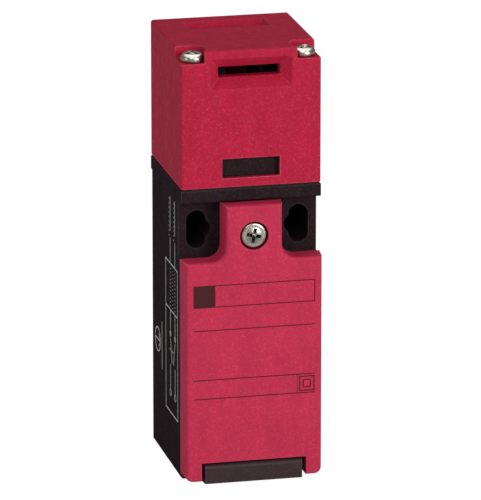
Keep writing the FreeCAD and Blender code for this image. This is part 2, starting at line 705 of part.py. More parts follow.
def make_casing():
    """Black casing: wiring chamber, ears, collar, spigot, cable entry and foot boss."""
    body = make_body("body_casing")
    add(body, "casing_block", "z", ("0", "collar_base"),
        rectangle(centred("body_width"), ("rim", "head_back")))

    def rear(edge):
        return upright(edge) and near(edge.BoundBox.Center.y, size("head_back"))

    dress(body, "Fillet", "rear_rounding", "body_edge", rear)

    def foot(edge):
        return near(edge.BoundBox.ZMax, 0)

    dress(body, "Chamfer", "foot_chamfering", "foot_chamfer", foot)
    add(body, "collar", "z", ("collar_base", "head_base"),
        rectangle(centred("head_width"), centred("head_depth")))
    add(body, "spigot", "z", ("head_base", "spigot_top"), spigot_outline("spigot_fit"))

    outside = "body_width / 2 + 1"
    cut(body, "ear_recesses", "z", ("ear_floor", "collar_base"),
        rectangle(("neck_width / 2", outside), ("rim - 1", "ear_face")),
        rectangle((minus(outside), "-neck_width / 2"), ("rim - 1", "ear_face")))
    inside = centred("chamber_width")
    cut(body, "chamber", "y", ("rim", "chamber_back"),
        rectangle(inside, ("chamber_floor", "chamber_roof")))
    cut(body, "cable_entry", "z", ("0", "chamber_floor"),
        disc(("0", "0"), "entry_diameter"))

    axis = ("0", "0")
    cut(body, "guide_seat", "z", ("guide_bottom", "spigot_top"), disc(axis, "guide_diameter"))
    cut(body, "spring_space", "z", ("spring_floor", "guide_bottom"), disc(axis, "spring_bore"))
    cut(body, "stem_hole", "z", ("chamber_roof", "spring_floor"),
        disc(axis, "sliding_bore"))

    straight = "(slot_length - mount_diameter) / 2"
    for word, sign in (("left", "-"), ("right", "")):
        middle = f"{sign}slot_centres / 2"
        places = {"hole": (f"{sign}hole_centres / 2", "mount_height"),
                  "slot_top": (middle, f"mount_height + {straight}"),
                  "slot_foot": (middle, f"mount_height - {straight}")}
        for what, place in places.items():
            cut(body, f"mount_{what}_{word}", "y", ("ear_face", "head_back"),
                disc(place, "mount_diameter"))
        cut(body, f"mount_slot_{word}", "y", ("ear_face", "head_back"),
            rectangle((f"{middle} - mount_diameter / 2", f"{middle} + mount_diameter / 2"),
                      (f"mount_height - {straight}", f"mount_height + {straight}")))
        cut(body, f"insert_hole_{word}", "z", ("head_base - insert_length", "head_base"),
            disc((f"{sign}screw_x", "screw_y"), "insert_diameter"))
        cut(body, f"block_pilot_{word}", "y",
            ("chamber_back", "chamber_back + block_screw_bite"),
            disc((f"{sign}terminal_place", "block_screw_height"), "block_screw_shank"))

    outer = centred("body_width - 2 * gasket_inset")
    inner = centred("body_width - 2 * (gasket_inset + gasket_width)")
    cut(body, "gasket_groove", "y", ("rim", "rim + gasket_depth"),
        rectangle(outer, ("gasket_low", "gasket_high")),
        rectangle(inner, ("gasket_low + gasket_width", "gasket_high - gasket_width")))
    cut(body, "cover_insert_hole", "y",
        ("rim", "rim + cover_insert_inset + cover_insert_length"),
        disc(("0", "cover_screw_height"), "cover_insert_diameter"))

    add(body, "foot_boss", "z", ("0", "boss_height"), polygon([
        ("-boss_width / 2", "rim + foot_chamfer"), ("-boss_width / 2 + boss_taper", "boss_face"),
        ("boss_width / 2 - boss_taper", "boss_face"), ("boss_width / 2", "rim + foot_chamfer")]))

    def boss_lip(edge):
        middle = edge.BoundBox.Center
        return near(middle.z, size("boss_height")) and near(middle.y, size("boss_face")) and \
            edge.BoundBox.YLength < 0.01

    dress(body, "Fillet", "boss_rounding", "boss_edge", boss_lip)

    def under_collar(edge):
        area = edge.BoundBox
        front = size("head_front")
        return near(area.Center.z, size("collar_base")) and \
            near(area.YMin, front) and near(area.YMax, front)

    dress(body, "Fillet", "collar_rounding", "collar_edge", under_collar)
    return body


def cover_outline(draft):
    """Outlines the cover with its neck and the notch for the foot boss."""
    side, neck = f"cover_width / 2 - ({draft})", f"neck_width / 2 - ({draft})"
    notch = "boss_width / 2 + notch_play"
    right = [(notch, "cover_notch_top"), (notch, "cover_bottom"), (side, "cover_bottom"),
             (side, "cover_shoulder"), (neck, "cover_shoulder"), (neck, "neck_top")]
    left = [(minus(across), up) for across, up in reversed(right)]
    return polygon(right + left)


def make_cover():
    """Red cover whose sides draw in towards its front, with the screw's counterbore."""
    body = make_body("cover")
    loft(body, "Additive", "cover_plate", "y", ("rim", "cover_face"),
         cover_outline("0"), cover_outline("cover_draft"))

    def at_corner(across, up):
        def chosen(edge):
            area = edge.BoundBox
            deep = area.YLength > size("cover_wall")
            return deep and near(abs(area.Center.x), across, 0.4) and near(area.Center.z, up, 0.4)
        return chosen

    dress(body, "Fillet", "lower_corners", "cover_corner",
          at_corner(size("cover_width") / 2, size("cover_bottom")))
    dress(body, "Fillet", "neck_roots", "neck_fillet",
          at_corner(size("neck_width") / 2, size("cover_shoulder")))

    middle = ("0", "cover_screw_height")
    cut(body, "hollow", "y", ("cover_face + cover_wall", "rim"),
        rectangle(centred("chamber_width"), ("hollow_bottom", "hollow_top")))
    cut(body, "counterbore", "y", ("cover_face", "counterbore_floor"),
        disc(middle, "counterbore_diameter"))
    cut(body, "screw_hole", "y", ("counterbore_floor", "rim"),
        disc(middle, "cover_screw_shank + 2 * screw_clearance"))
    cut(body, "retainer_seat", "y", ("rim - retainer_thickness", "rim"),
        disc(middle, "retainer_recess"))
    return body


def make_cover_gasket():
    """Rubber frame in the groove of the casing's rim."""
    body = make_body("cover_gasket")
    add(body, "gasket_frame", "y", ("rim", "rim + gasket_depth"),
        rectangle(centred("body_width - 2 * gasket_inset"), ("gasket_low", "gasket_high")),
        rectangle(centred("body_width - 2 * (gasket_inset + gasket_width)"),
                  ("gasket_low + gasket_width", "gasket_high - gasket_width")))
    return body


def make_cover_screw():
    """Captive screw of the cover, with its washer and the insert it screws into."""
    centre = ("0", "cover_screw_height")
    head_top = "(counterbore_floor - cover_screw_head_height)"
    head = cylinder("cover_screw_pan", "y", centre, "cover_screw_head",
                    ("counterbore_floor - cover_screw_head_height", "counterbore_floor"))
    shank = cylinder("cover_screw_rod", "y", centre, "cover_screw_shank",
                     ("counterbore_floor", "counterbore_floor + cover_screw_length"))
    recess = cross_recess("cover_screw", "y", centre, head_top,
                          "cover_screw_head_height * 0.7", "cover_screw_head * 0.6")
    less("cover_screw", fused("cover_screw_blank", [head, shank]), recess)
    seat = ("rim - retainer_thickness", "rim")
    less("screw_retainer", cylinder("retainer_outside", "y", centre, "retainer_diameter", seat),
         [cylinder("retainer_bore", "y", centre, "cover_screw_shank", seat)])
    depth = ("rim + cover_insert_inset", "rim + cover_insert_inset + cover_insert_length")
    less("cover_insert", cylinder("insert_outside", "y", centre, "cover_insert_diameter", depth),
         [cylinder("insert_bore", "y", centre, "cover_screw_shank + 2 * running_fit", depth)])


def make_head_inserts():
    """Brass inserts in the collar for the head screws."""
    inserts = []
    span = ("head_base - insert_length", "head_base")
    for word, sign in (("left", "-"), ("right", "")):
        centre = (f"{sign}screw_x", "screw_y")
        inserts.append(less(
            f"head_insert_{word}",
            cylinder(f"head_insert_{word}_outside", "z", centre, "insert_diameter", span),
            [cylinder(f"head_insert_{word}_bore", "z", centre,
                      "head_screw_shank + 2 * running_fit", span)]))
    return group("head_inserts", inserts)


def bridge_slots(body):
    """Cuts the channel of the carriage and the slots of both bridges from the block's front."""
    cut(body, "channel", "z", ("channel_bottom", "block_top"),
        rectangle(centred("carriage_width + 2 * carriage_play"),
                  ("block_front", "carriage_back + carriage_play")))
    levels = {"break": ("break_bridge_height - slot_play", "break_strip + strip_thickness"),
              "make": ("make_strip - strip_thickness",
                       "make_bridge_height + plunger_travel + slot_play")}
    for word, span in levels.items():
        cut(body, f"{word}_slot", "y", ("block_front", "slot_back"),
            rectangle(centred("2 * slot_side"), span))


def make_contact_block():
    """Contact block: rear half with the bridge slots, and the front plate that closes it."""
    body = make_body("contact_base")
    add(body, "block", "z", ("block_bottom", "block_top"),
        rectangle(centred("block_width"), ("block_front", "chamber_back")))
    bridge_slots(body)
    for word, sign in (("left", "-"), ("right", "")):
        across = f"{sign}terminal_place"
        for what, height in (("break", "break_terminal"), ("make", "make_terminal")):
            cut(body, f"{what}_pilot_{word}", "y", ("block_front", "block_front + terminal_reach"),
                disc((across, height), "terminal_shank"))
        cut(body, f"fixing_hole_{word}", "y", ("block_front", "chamber_back"),
            disc((across, "block_screw_height"), "block_screw_shank + 2 * screw_clearance"))
    front = make_body("contact_front")
    add(front, "front_plate", "z", ("block_bottom", "block_top"),
        rectangle(centred("front_plate_width"),
                  ("block_front - front_plate_depth", "block_front")))
    return [body, front]


def make_carriage():
    """Carriage with a window for each bridge and its spring."""
    body = make_body("contact_carriage")
    add(body, "carriage", "z", ("carriage_bottom", "carriage_top"),
        rectangle(centred("carriage_width"), ("carriage_front", "carriage_back")))
    upper = "break_bridge_height + bridge_thickness / 2"
    lower = "make_bridge_height - bridge_thickness / 2"
    for word, span in (("break", (f"{upper} - window_span", upper)),
                       ("make", (lower, f"{lower} + window_span"))):
        cut(body, f"{word}_window", "x", centred("carriage_width"),
            rectangle(centred("window_depth"), span))
    return body


def make_bridges():
    """Two bridge contacts, each a strip with a contact button near each end."""
    bridges = []
    for word in ("break", "make"):
        low = f"({word}_bridge_height - bridge_thickness / 2)"
        high = f"({word}_bridge_height + bridge_thickness / 2)"
        strip = box(f"{word}_strip", centred("2 * bridge_reach"), centred("bridge_depth"),
                    (low, high))
        above, below = (high, f"{high} + button_height"), (f"{low} - button_height", low)
        buttons = [cylinder(f"{word}_button_{place}", "z", (f"{sign}button_place", "0"),
                            "2 * button_radius", above if word == "break" else below)
                   for place, sign in (("left", "-"), ("right", ""))]
        bridges.append(fused(f"{word}_bridge", [strip] + buttons))
    return group("moving_contacts", bridges)


def make_springs():
    """Return spring of the plunger, and the pressure springs of both bridges."""
    play = size("spring_seat")
    coil("return_spring", size("spring_floor") + play, size("flange_bottom") - play,
         size("spring_diameter"), size("spring_wire"), size("spring_turns"),
         RETURN_SPRING_STEPS)
    length = size("window_span") - size("bridge_thickness")
    half = size("bridge_thickness") / 2
    lows = (size("break_bridge_height") - half - length, size("make_bridge_height") + half)
    springs = [coil(f"bridge_spring_{n}", low + play, low + length - play,
                    size("bridge_spring_diameter"), size("bridge_spring_wire"),
                    size("bridge_spring_turns"), BRIDGE_SPRING_STEPS)
               for n, low in enumerate(lows)]
    return group("bridge_springs", springs)


def pan_screw(name, centre, seat, head, head_height, shank, tip):
    """Makes a slotted screw along Y, its head in front of its seat."""
    pan = cylinder(f"{name}_pan", "y", centre, head, (f"{seat} - {head_height}", seat))
    rod = cylinder(f"{name}_rod", "y", centre, shank, (seat, tip))
    slot = box(f"{name}_slot", (f"{centre[0]} - {head}", f"{centre[0]} + {head}"),
               (f"{seat} - {head_height}", f"{seat} - {head_height} / 2"),
               (f"{centre[1]} - {head} / 10", f"{centre[1]} + {head} / 10"))
    return less(name, fused(f"{name}_blank", [pan, rod]), [slot])


def make_terminals():
    """Four fixed contacts with their terminal plates, clamps and screws."""
    contacts, clamps, screws = [], [], []
    clamp_back = "(plate_front - clamp_lift)"
    clamp_front = f"({clamp_back} - clamp_thickness)"
    bore = "terminal_shank + 2 * screw_clearance"
    levels = (("break", ("break_strip", "break_strip + strip_thickness")),
              ("make", ("make_strip - strip_thickness", "make_strip")))
    for what, level in levels:
        terminal = f"{what}_terminal"
        for word, sign in (("left", "-"), ("right", "")):
            name = f"{what}_{word}"
            centre = (f"{sign}terminal_place", terminal)
            arm = box(f"{name}_arm", beside(sign, "strip_inner", "strip_outer"),
                      ("plate_front", "strip_back"), level)
            plate = box(f"{name}_plate", beside(sign, "plate_inner", "plate_outer"),
                        ("plate_front", "block_front"),
                        (f"{terminal} - plate_height / 2", f"{terminal} + plate_height / 2"))
            hole = cylinder(f"{name}_hole", "y", centre, bore, ("plate_front", "block_front"))
            contacts.append(less(f"{name}_contact", fused(f"{name}_bar", [arm, plate]), [hole]))
            washer = box(f"{name}_washer",
                         (f"{centre[0]} - clamp_size / 2", f"{centre[0]} + clamp_size / 2"),
                         (clamp_front, clamp_back),
                         (f"{terminal} - clamp_size / 2", f"{terminal} + clamp_size / 2"))
            hole = cylinder(f"{name}_washer_hole", "y", centre, bore, (clamp_front, clamp_back))
            clamps.append(less(f"{name}_clamp", washer, [hole]))
            screws.append(pan_screw(f"{name}_screw", centre, clamp_front, "terminal_head",
                                    "terminal_head_height", "terminal_shank",
                                    "block_front + terminal_reach"))
    return [group("fixed_contacts", contacts), group("terminal_clamps", clamps),
            group("terminal_screws", screws)]


def make_block_screws():
    """Two screws that hold the contact block to the casing's back wall."""
    return group("block_screws", [
        pan_screw(f"block_screw_{word}", (f"{sign}terminal_place", "block_screw_height"),
                  "block_front", "block_screw_head", "block_screw_head_height",
                  "block_screw_shank", "chamber_back + block_screw_bite")
        for word, sign in (("left", "-"), ("right", ""))])


make_head()
make_head_screws()
make_cam_drum()
cylinder("drum_axle", "x", ("0", "cam_axis_height"), "axle_diameter",
         centred("cavity_width + 2 * axle_seat"))
make_head_gasket()
make_plunger()
ring("plunger_guide", "guide_diameter", "sliding_bore", ("guide_bottom", "guide_top"))
ring("plunger_seal", "guide_diameter", "sliding_bore", ("guide_top", "spigot_top"))
make_casing()
make_head_inserts()
make_cover()
make_cover_gasket()
make_cover_screw()
make_contact_block()
make_carriage()
make_bridges()
make_springs()
make_terminals()
make_block_screws()
doc.recompute()

NODES = (
    "head_housing", "head_screws", "cam_drum", "drum_axle", "head_gasket", "plunger",
    "plunger_guide", "plunger_seal", "return_spring", "body_casing", "head_inserts", "cover",
    "cover_gasket", "cover_screw", "screw_retainer", "cover_insert", "contact_base",
    "contact_front", "contact_carriage", "moving_contacts", "bridge_springs", "fixed_contacts",
    "terminal_clamps", "terminal_screws", "block_screws")

for item in doc.Objects:
    if {"Invalid", "Error"} & set(item.State):
        raise RuntimeError(f"{item.Label} failed: {item.State}")

os.makedirs("parts", exist_ok=True)
for node in NODES:
    shape = doc.getObject(node).Shape
    if shape.isNull() or not shape.isValid():
        raise RuntimeError(f"{node} has no valid shape")
    shape.exportStep(f"parts/{node}.step")
    print(f"{node}: {len(shape.Solids)} solids, {shape.Volume:.1f} mm3")
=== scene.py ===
"""Looks of the tongue interlock switch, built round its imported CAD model. All in metres."""
import math

import bmesh
import bpy
from mathutils import Matrix, Vector


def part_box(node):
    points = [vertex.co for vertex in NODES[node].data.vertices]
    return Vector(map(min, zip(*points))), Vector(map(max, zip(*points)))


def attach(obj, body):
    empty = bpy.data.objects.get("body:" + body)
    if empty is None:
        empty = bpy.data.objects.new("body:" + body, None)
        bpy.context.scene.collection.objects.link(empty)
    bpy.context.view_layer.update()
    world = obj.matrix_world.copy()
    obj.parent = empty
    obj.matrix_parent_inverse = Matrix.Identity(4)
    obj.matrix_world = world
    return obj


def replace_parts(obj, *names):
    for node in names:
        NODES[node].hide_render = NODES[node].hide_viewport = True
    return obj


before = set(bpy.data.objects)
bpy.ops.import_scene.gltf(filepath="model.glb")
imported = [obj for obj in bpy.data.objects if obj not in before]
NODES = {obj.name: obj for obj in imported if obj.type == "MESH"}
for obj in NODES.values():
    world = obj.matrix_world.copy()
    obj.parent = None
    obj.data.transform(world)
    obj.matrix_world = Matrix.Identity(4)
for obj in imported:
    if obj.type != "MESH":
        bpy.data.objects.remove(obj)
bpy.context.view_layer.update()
MM = 0.001

# Colours, as linear red, green and blue.
HEAD_RED = (0.465, 0.013, 0.048)
COVER_RED = (0.532, 0.028, 0.076)
CASING_BLACK = (0.024, 0.013, 0.016)
BLOCK_BLACK = (0.016, 0.015, 0.016)
DARK_INK = (0.070, 0.010, 0.012)
LINE_INK = (0.110, 0.006, 0.016)
WHITE_INK = (0.78, 0.78, 0.76)
ZINC = (0.82, 0.79, 0.68)
STEEL = (0.60, 0.60, 0.61)
BRASS = (0.68, 0.47, 0.17)
SILVER = (0.76, 0.72, 0.62)
ACETAL = (0.70, 0.69, 0.64)
NITRILE = (0.018, 0.018, 0.018)
GREY = (0.35, 0.33, 0.33)
PALE_RED = (0.75, 0.35, 0.42)
# Pale colour of rubbed edges, which also paints a highlight along them.
RUBBED_AND_HIGHLIT_EDGE = (0.9, 0.75, 0.75)
PLATING_STAIN = (0.42, 0.38, 0.24)
# Dark greenish colour of metal recesses: a stain colour used as painted shade.
HOLLOW_STAIN_AND_SHADE = (0.045, 0.050, 0.034)
FLOOR_WHITE = (0.9, 0.9, 0.9)
FLOOR_IN_GLOSS = (0.32, 0.32, 0.32)

# Copied CAD meshes: points that count as one, and faces that count as flat together.
SAME_POINT = 0.0005 * MM
FLAT_ENOUGH = math.radians(0.5)

# Head: rounding of every edge that turns by more than the sharp angle.
HEAD_ROUNDING = 0.18 * MM
HEAD_SHARP = math.radians(28)

# Cover: rounding of its outline, and of the screw hole and the low notch within these reaches.
COVER_ROUNDING = 0.8 * MM
OPENING_ROUNDING = 0.2 * MM
SCREW_HOLE_REACH = 4.5 * MM
NOTCH_HALF_WIDTH = 11.5 * MM
NOTCH_TOP = 8 * MM
MERGE_AFTER_ROUNDING = 0.03 * MM

# Casing: the shadow groove under the head, with the height of its lower wall; how far a point
# may lie from the collar's sides to be one of theirs; how far the collar stands out of the
# casing's sides; and where the boss at the foot lies, in front of the cover's rim.
GROOVE_HEIGHT = 0.40 * MM
GROOVE_DEPTH = 0.30 * MM
GROOVE_STEP = 0.02 * MM
SIDE_REACH = 0.05 * MM
COLLAR_STEP = 0.1 * MM
FOOT_TOP = 5 * MM
FOOT_INSET = 0.03 * MM

# Edges shade smoothly below these angles, in degrees.
SHELL_SMOOTH = 32
SCREW_SMOOTH = 34

# Screws. The dome takes up its share of a head's height over the rim, and the crown rises by its
# share of the head's and the rim's heights together. The recess is as wide as a share of its
# reach and as deep as a share of the head's height, and the thread as deep as one of its pitch.
SCREW_HEAD_HEIGHT = 1.9 * MM
HEAD_SCREW_RADIUS = 2.5 * MM
HEAD_SCREW_SHANK = 1.45 * MM
HEAD_SCREW_PITCH = 0.5 * MM
COVER_SCREW_SHANK = 1.7 * MM
COVER_SCREW_PITCH = 0.6 * MM
DOME_SHARE = 0.86
CROWN_SHARE = 0.14
RECESS_WIDTH_SHARE = 0.22
RECESS_DEPTH_SHARE = 0.78
THREAD_DEPTH_SHARE = 0.32
HEAD_STEPS = 72

# Printing: how far the ink stands out of its face and reaches into it.
INK_RISE = 0.015 * MM
INK_SINK = 0.02 * MM

# Camera and lamps.
LENS = 410.8
SENSOR_WIDTH = 36.0
CAMERA_PLACE = (-0.2605, -1.1333, 0.3839)
CAMERA_DIP = 0.2829
CAMERA_TURN = -0.2269
LAMP_TARGET = Vector((0, 0, 0.045))


# Materials.

class Tree:
    """A material's node tree with short calls to add and link nodes."""

    def __init__(self, name):
        self.material = bpy.data.materials.new(name)
        self.material.use_nodes = True
        self.nodes = self.material.node_tree.nodes
        self.links = self.material.node_tree.links
        self.shader = self.nodes["Principled BSDF"]
        self.place = self.add("ShaderNodeTexCoord").outputs["Object"]

    def add(self, kind, **settings):
        """Adds a node with some of its properties set."""
        node = self.nodes.new(kind)
        for key, value in settings.items():
            setattr(node, key, value)
        return node

    def join(self, source, target):
        """Links an output to an input."""
        self.links.new(source, target)

    def feed(self, source, name):
        """Links a value or colour to one of the shader's own sockets."""
        self.join(source, self.shader.inputs[name])

    def noise(self, scale, detail=2.0, stretch=(1, 1, 1)):
        """Gives a noise value with features of about 1 / scale metres."""
        turn = self.add("ShaderNodeMapping")
        turn.inputs["Scale"].default_value = stretch
        self.join(self.place, turn.inputs["Vector"])
        node = self.add("ShaderNodeTexNoise")
        node.inputs["Scale"].default_value = scale
        node.inputs["Detail"].default_value = detail
        self.join(turn.outputs["Vector"], node.inputs["Vector"])
        return node.outputs["Fac"]

    def ramp(self, value, low, high, at_low=0.0, at_high=1.0):
        """Maps a stretch of a value onto two new ends."""
        node = self.add("ShaderNodeMapRange")
        for key, number in zip(("From Min", "From Max", "To Min", "To Max"),
                               (low, high, at_low, at_high)):
            node.inputs[key].default_value = number
        self.join(value, node.inputs["Value"])
        return node.outputs["Result"]

    def times(self, first, second):
        """Multiplies two values."""
        node = self.add("ShaderNodeMath", operation="MULTIPLY")
        self.join(first, node.inputs[0])
        self.join(second, node.inputs[1])
        return node.outputs[0]

    def mix(self, factor, first, second):
        """Mixes two colours, each a colour or a socket."""
        node = self.add("ShaderNodeMix", data_type="RGBA")
        self.join(factor, node.inputs[0])
        for socket, colour in ((node.inputs[6], first), (node.inputs[7], second)):
            if isinstance(colour, tuple):
                socket.default_value = (*colour, 1)
            else:
                self.join(colour, socket)
        return node.outputs[2]

    def bump(self, height, depth, strength=1.0, under=None):
        """Raises the surface by height times depth, on top of an earlier bump."""
        node = self.add("ShaderNodeBump")
        node.inputs["Strength"].default_value = strength
        node.inputs["Distance"].default_value = depth
        self.join(height, node.inputs["Height"])
        if under is not None:
            self.join(under, node.inputs["Normal"])
        return node.outputs["Normal"]

    def edge_wear_and_highlight(self, radius):
        """Gives 1 near sharp edges and 0 on flat faces: where edges are lightened, as wear and as
        painted highlight.
        """
        bevel = self.add("ShaderNodeBevel", samples=6)
        bevel.inputs["Radius"].default_value = radius
        normal = self.add("ShaderNodeNewGeometry").outputs["Normal"]
        dot = self.add("ShaderNodeVectorMath", operation="DOT_PRODUCT")
        self.join(bevel.outputs["Normal"], dot.inputs[0])
        self.join(normal, dot.inputs[1])
        return self.ramp(dot.outputs["Value"], low=0.999, high=0.86)

    def hollow_shade(self, reach, full, none, strength):
        """Gives the strength of painted shade in tight corners, joints and recesses, and 0 on
        open faces.
        """
        node = self.add("ShaderNodeAmbientOcclusion", samples=6)
        node.inputs["Distance"].default_value = reach
        return self.ramp(node.outputs["AO"], full, none, at_low=strength, at_high=0)


def tint(colour, factor):
    """Gives a lighter or darker colour."""
    return tuple(min(1.0, part * factor) for part in colour)


def toward(colour, other, share):
    """Gives a colour part of the way to another."""
    return tuple(a + (b - a) * share for a, b in zip(colour, other))


def moulded(name, colour, roughness, mottle, speck, edge, shine, fleck=GREY):
    """Moulded plastic: spark-eroded grain, faint flow marks, pale specks, edges pale from wear
    and painted highlight, painted shade in joints.
    """
    tree = Tree(name)
    flow = tree.ramp(tree.noise(scale=260, detail=4, stretch=(1, 1, 0.45)), low=0.3, high=0.7)
    base = tree.mix(flow, tint(colour, 1 - mottle), tint(colour, 1 + mottle))
    grain = tree.ramp(tree.noise(scale=2100), low=0.36, high=0.64, at_high=0.5)
    base = tree.mix(grain, base, tint(colour, 1 - 2.2 * mottle))
    specks = tree.ramp(tree.noise(scale=2700), low=0.54, high=0.70, at_high=speck)
    base = tree.mix(specks, base, toward(colour, fleck, 0.5))
    smudge = tree.ramp(tree.noise(scale=900, detail=3), low=0.35, high=0.75, at_high=0.5)
    base = tree.mix(smudge, base, tint(colour, 1 - mottle))
    # Pale edges: partly wear, partly a painted highlight along the edges.
    rubbing_and_highlight = tree.ramp(tree.noise(scale=1400, detail=3), low=0.35, high=0.65,
                        at_low=edge * 0.35, at_high=edge)
    wear_and_highlight = tree.times(tree.edge_wear_and_highlight(0.35 * MM), rubbing_and_highlight)
    base = tree.mix(wear_and_highlight, base, toward(colour, RUBBED_AND_HIGHLIT_EDGE, 0.35))
    # Painted shade: darker in tight corners, joints and recesses.
    hollow_shade = tree.hollow_shade(reach=0.7 * MM, full=0.10, none=0.55, strength=0.9)
    base = tree.mix(hollow_shade, base, tint(colour, 0.08))
    tree.feed(base, "Base Color")
    tree.feed(tree.ramp(tree.noise(scale=700, detail=3), low=0.3, high=0.7,
                        at_low=roughness - 0.06, at_high=roughness + 0.07), "Roughness")
    fine = tree.bump(tree.noise(scale=7500), depth=0.018 * MM, strength=0.55)
    coarse = tree.bump(tree.noise(scale=2600, detail=3), depth=0.022 * MM, strength=0.45,
                       under=fine)
    tree.feed(coarse, "Normal")
    tree.shader.inputs["Specular IOR Level"].default_value = shine
    return tree.material


def metal(name, colour, roughness, tarnish, stain):
    """Plated or turned metal: fine scratches, cloudy plating, stains, and painted shade in a
    greenish stain colour in recesses.
    """
    tree = Tree(name)
    cloud = tree.ramp(tree.noise(scale=1100, detail=4), low=0.38, high=0.68)
    base = tree.mix(cloud, tint(colour, 1 - tarnish), tint(colour, 1.08))
    spots = tree.ramp(tree.noise(scale=2300, detail=3), low=0.56, high=0.72, at_high=stain)
    base = tree.mix(spots, base, tint(PLATING_STAIN, 0.8))
    # Painted shade in recesses, in a dark greenish stain colour.
    hollow_shade = tree.hollow_shade(reach=0.9 * MM, full=0.30, none=0.88, strength=0.95)
    tree.feed(tree.mix(hollow_shade, base, HOLLOW_STAIN_AND_SHADE), "Base Color")
    tree.shader.inputs["Metallic"].default_value = 1.0
    tree.feed(tree.ramp(tree.noise(scale=1700, detail=3), low=0.3, high=0.7,
                        at_low=roughness * 0.7, at_high=roughness * 1.4), "Roughness")
    scratches = tree.bump(tree.noise(scale=5200, stretch=(1, 1, 0.12)), depth=0.006 * MM,
                          strength=0.5)
    tree.feed(tree.bump(tree.noise(scale=3000, detail=3), depth=0.01 * MM, strength=0.5,
                        under=scratches), "Normal")
    return tree.material


def rubber(name, colour):
    """Nitrile rubber with a bloom."""
    tree = Tree(name)
    bloom = tree.ramp(tree.noise(scale=1500, detail=4), low=0.4, high=0.75, at_high=0.4)
    tree.feed(tree.mix(bloom, colour, tint(colour, 2.2)), "Base Color")
    tree.feed(tree.ramp(tree.noise(scale=2200), low=0.3, high=0.7, at_low=0.62, at_high=0.85),
              "Roughness")
    tree.feed(tree.bump(tree.noise(scale=5200, detail=3), depth=0.02 * MM, strength=0.6),
              "Normal")
    return tree.material


def ink(name, colour, cover):
    """Pad-printed ink, a little uneven, with a fine grain in its surface."""
    tree = Tree(name)
    uneven = tree.ramp(tree.noise(scale=3400, detail=3), low=0.35, high=0.7)
    tree.feed(tree.mix(uneven, tint(colour, cover), colour), "Base Color")
    tree.feed(tree.ramp(tree.noise(scale=5200), low=0.3, high=0.7, at_low=0.42, at_high=0.62),
              "Roughness")
    tree.feed(tree.bump(tree.noise(scale=7500), depth=0.012 * MM, strength=0.5), "Normal")
    tree.shader.inputs["Specular IOR Level"].default_value = 0.2
    return tree.material


MATERIALS = {
    "head_red": moulded("head_red", HEAD_RED, roughness=0.50, mottle=0.13, speck=0.15,
                        edge=0.75, shine=0.07, fleck=PALE_RED),
    "cover_red": moulded("cover_red", COVER_RED, roughness=0.46, mottle=0.11, speck=0.15,
                         edge=0.55, shine=0.10, fleck=PALE_RED),
    "casing_black": moulded("casing_black", CASING_BLACK, roughness=0.76, mottle=0.16,
                            speck=0.10, edge=0.16, shine=0.03),
    # A lighter copy of the casing's black for the boss at the foot: a painted highlight.
    "foot_black_highlit": moulded("foot_black_highlit", tint(CASING_BLACK, 1.9), roughness=0.46, mottle=0.16,
                          speck=0.10, edge=0.30, shine=0.20),
    "block_black": moulded("block_black", BLOCK_BLACK, roughness=0.42, mottle=0.12,
                           speck=0.06, edge=0.10, shine=0.20),
    "acetal": moulded("acetal", ACETAL, roughness=0.38, mottle=0.03, speck=0.10, edge=0.15,
                      shine=0.30),
    "zinc": metal("zinc", ZINC, roughness=0.26, tarnish=0.16, stain=0.50),
    "steel": metal("steel", STEEL, roughness=0.26, tarnish=0.12, stain=0.10),
    "brass": metal("brass", BRASS, roughness=0.28, tarnish=0.18, stain=0.20),
    "silver": metal("silver", SILVER, roughness=0.22, tarnish=0.12, stain=0.15),
    "rubber": rubber("rubber", NITRILE),
    "dark_ink": ink("dark_ink", DARK_INK, cover=0.80),
    "line_ink": ink("line_ink", LINE_INK, cover=0.75),
    "white_ink": ink("white_ink", WHITE_INK, cover=0.55),
}

NODE_MATERIALS = {
    "head_housing": "head_red", "body_casing": "casing_black", "cover": "cover_red",
    "head_screws": "zinc", "cover_screw": "zinc", "cam_drum": "block_black",
    "drum_axle": "steel", "head_gasket": "rubber", "plunger": "acetal",
    "plunger_guide": "acetal", "plunger_seal": "rubber", "return_spring": "steel",
    "head_inserts": "brass", "cover_gasket": "rubber", "screw_retainer": "acetal",
    "cover_insert": "brass", "contact_base": "block_black", "contact_front": "block_black",
    "contact_carriage": "acetal", "moving_contacts": "silver", "bridge_springs": "steel",
    "fixed_contacts": "silver", "terminal_clamps": "zinc", "terminal_screws": "zinc",
    "block_screws": "zinc"}


# Mesh helpers.

def mesh_of(form, name):
    """Turns a bmesh into a mesh and frees it."""
    mesh = bpy.data.meshes.new(name)
    form.to_mesh(mesh)
    form.free()
    return mesh


def finish_piece(name, mesh, material, body):
    """Makes a piece of a mesh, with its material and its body."""
    piece = bpy.data.objects.new(name, mesh)
    bpy.context.scene.collection.objects.link(piece)
    mesh.materials.clear()
    mesh.materials.append(MATERIALS[material])
    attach(piece, body)
    return piece


def copied_form(node):
    """Copies a CAD node's mesh with its facets joined at their corners."""
    form = bmesh.new()
    form.from_mesh(NODES[node].data)
    bmesh.ops.remove_doubles(form, verts=form.verts, dist=SAME_POINT)
    return form


def clean_form(node):
    """Copies a CAD node's mesh with its flat faces whole."""
    form = copied_form(node)
    bmesh.ops.dissolve_limit(form, angle_limit=FLAT_ENOUGH, verts=form.verts,
                             edges=form.edges, use_dissolve_boundaries=False)
    return form


def divide(form, place, normal):
    """Divides the faces along a plane and keeps both sides."""
    bmesh.ops.bisect_plane(form, geom=form.verts[:] + form.edges[:] + form.faces[:],
                           plane_co=place, plane_no=normal)


def skin(form, rings, smooth=False):
    """Makes a solid between the first and the last of some rings of as many points each."""
    form.faces.new(rings[-1])
    form.faces.new(list(reversed(rings[0])))
    for low, high in zip(rings, rings[1:]):
        for n in range(len(low)):
            after = (n + 1) % len(low)
            face = form.faces.new((low[n], low[after], high[after], high[n]))
            face.smooth = smooth


